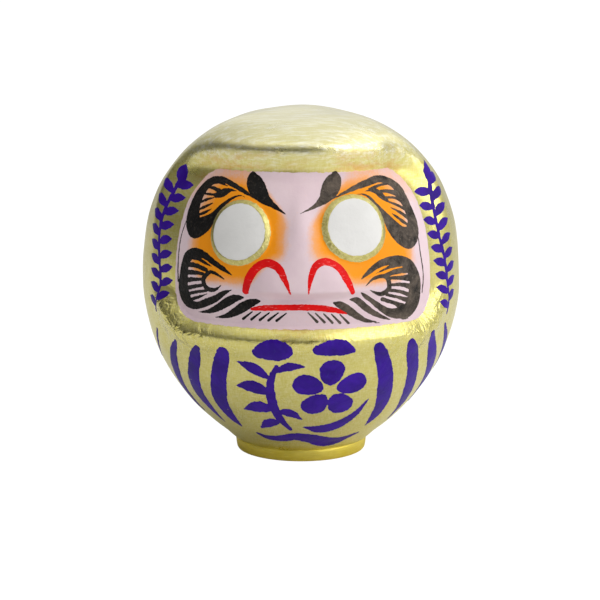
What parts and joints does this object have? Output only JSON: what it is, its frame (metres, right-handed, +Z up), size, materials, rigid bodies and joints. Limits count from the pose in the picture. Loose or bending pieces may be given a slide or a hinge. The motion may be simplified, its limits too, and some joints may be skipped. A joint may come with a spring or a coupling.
{
  "type": "daruma doll",
  "caption": "Round hollow papier-mache tumbler doll with a sunk painted face under a brow ridge, gold skin, weighted base and a low foot hoop.",
  "frame": {"origin": "centre of the flat face under the foot, which the doll rests on", "axes": "+Z up along the middle of the round body, -Y out of the face, +X to the right of someone looking at the face"},
  "size_m": [0.2196, 0.2186, 0.24],
  "materials": {
    "gold_skin": "satin",
    "foot_gold": "satin",
    "clay": "matte",
    "base_paper": "matte",
    "washi": "matte",
    "pink_paint": "matte",
    "white_paint": "matte",
    "black_paint": "satin",
    "red_paint": "satin",
    "indigo_paint": "satin",
    "gold_paint": "satin"
  },
  "bodies": {
    "root": {"front_shell": "gold_skin", "rear_shell": "gold_skin", "foot_ring": "foot_gold", "base_weight": "clay", "base_paper": "base_paper", "seam_strip_crown": "washi", "seam_strip_left": "washi", "seam_strip_right": "washi"}
  },
  "joints": []
}
